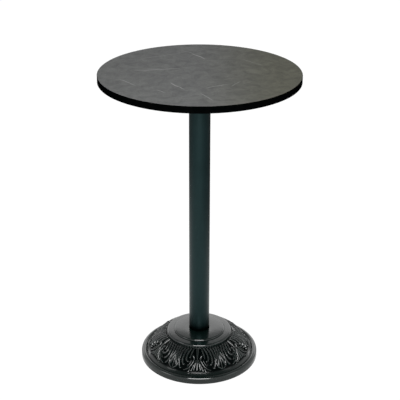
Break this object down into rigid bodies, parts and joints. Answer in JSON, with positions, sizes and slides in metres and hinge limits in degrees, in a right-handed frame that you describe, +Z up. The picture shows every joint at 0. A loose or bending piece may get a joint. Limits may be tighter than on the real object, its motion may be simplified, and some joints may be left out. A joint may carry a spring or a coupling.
{
  "type": "pub table",
  "caption": "Tall round pub table with a slate-look top, a straight steel column and a bell-shaped cast foot ornamented with acanthus leaves, on levelling glides.",
  "frame": {"origin": "on the floor under the column's axis, where the glides stand", "axes": "+Z up along the column; -Y towards the front, which the picture shows"},
  "size_m": [0.7099, 0.7098, 1.13],
  "materials": {
    "slate_laminate": "matt high-pressure laminate with a grey slate print",
    "particleboard": "raw sawn particleboard",
    "backing_laminate": "plain brown-grey balancing laminate",
    "edging_plastic": "black extruded edging, satin",
    "spider_iron": "black primed casting",
    "zinc_steel": "zinc-plated steel",
    "column_paint": "dark satin powder coat on steel tube",
    "enamelled_iron": "glossy black enamel on cast iron",
    "nylon": "black moulded nylon"
  },
  "bodies": {
    "table": {"top_laminate": "slate_laminate", "top_core": "particleboard", "top_backing": "backing_laminate", "top_edging": "edging_plastic", "top_spider": "spider_iron", "spider_screws": "zinc_steel", "upper_nut": "zinc_steel", "upper_spring_washer": "zinc_steel", "upper_washer": "zinc_steel", "tie_rod": "zinc_steel", "column_tube": "column_paint", "base_casting": "enamelled_iron", "lower_washer": "zinc_steel", "lower_spring_washer": "zinc_steel", "lower_nut": "zinc_steel"},
    "foot_1": {"glide_pad_1": "nylon"},
    "levelling_screw_1": {"glide_screw_1": "zinc_steel"},
    "foot_2": {"glide_pad_2": "nylon"},
    "levelling_screw_2": {"glide_screw_2": "zinc_steel"},
    "foot_3": {"glide_pad_3": "nylon"},
    "levelling_screw_3": {"glide_screw_3": "zinc_steel"},
    "foot_4": {"glide_pad_4": "nylon"},
    "levelling_screw_4": {"glide_screw_4": "zinc_steel"}
  },
  "joints": [
    {"name": "foot_travel_1", "type": "slide", "parent": "table", "child": "foot_1", "axis": [0, 0, -1], "range_m": [0, 0.012]},
    {"name": "screw_turn_1", "type": "hinge", "parent": "foot_1", "child": "levelling_screw_1", "pos_m": [0.12445, 0.12445, 0.0133], "axis": [0, 0, -1], "range_deg": [0, 3500]},
    {"name": "foot_travel_2", "type": "slide", "parent": "table", "child": "foot_2", "axis": [0, 0, -1], "range_m": [0, 0.012]},
    {"name": "screw_turn_2", "type": "hinge", "parent": "foot_2", "child": "levelling_screw_2", "pos_m": [-0.12445, 0.12445, 0.0133], "axis": [0, 0, -1], "range_deg": [0, 3500]},
    {"name": "foot_travel_3", "type": "slide", "parent": "table", "child": "foot_3", "axis": [0, 0, -1], "range_m": [0, 0.012]},
    {"name": "screw_turn_3", "type": "hinge", "parent": "foot_3", "child": "levelling_screw_3", "pos_m": [-0.12445, -0.12445, 0.0133], "axis": [0, 0, -1], "range_deg": [0, 3500]},
    {"name": "foot_travel_4", "type": "slide", "parent": "table", "child": "foot_4", "axis": [0, 0, -1], "range_m": [0, 0.012]},
    {"name": "screw_turn_4", "type": "hinge", "parent": "foot_4", "child": "levelling_screw_4", "pos_m": [0.12445, -0.12445, 0.0133], "axis": [0, 0, -1], "range_deg": [0, 3500]}
  ],
  "couplings": [
    {"joint": "screw_turn_1", "follows": "foot_travel_1", "rad_per_m": 5026.5},
    {"joint": "screw_turn_2", "follows": "foot_travel_2", "rad_per_m": 5026.5},
    {"joint": "screw_turn_3", "follows": "foot_travel_3", "rad_per_m": 5026.5},
    {"joint": "screw_turn_4", "follows": "foot_travel_4", "rad_per_m": 5026.5}
  ]
}
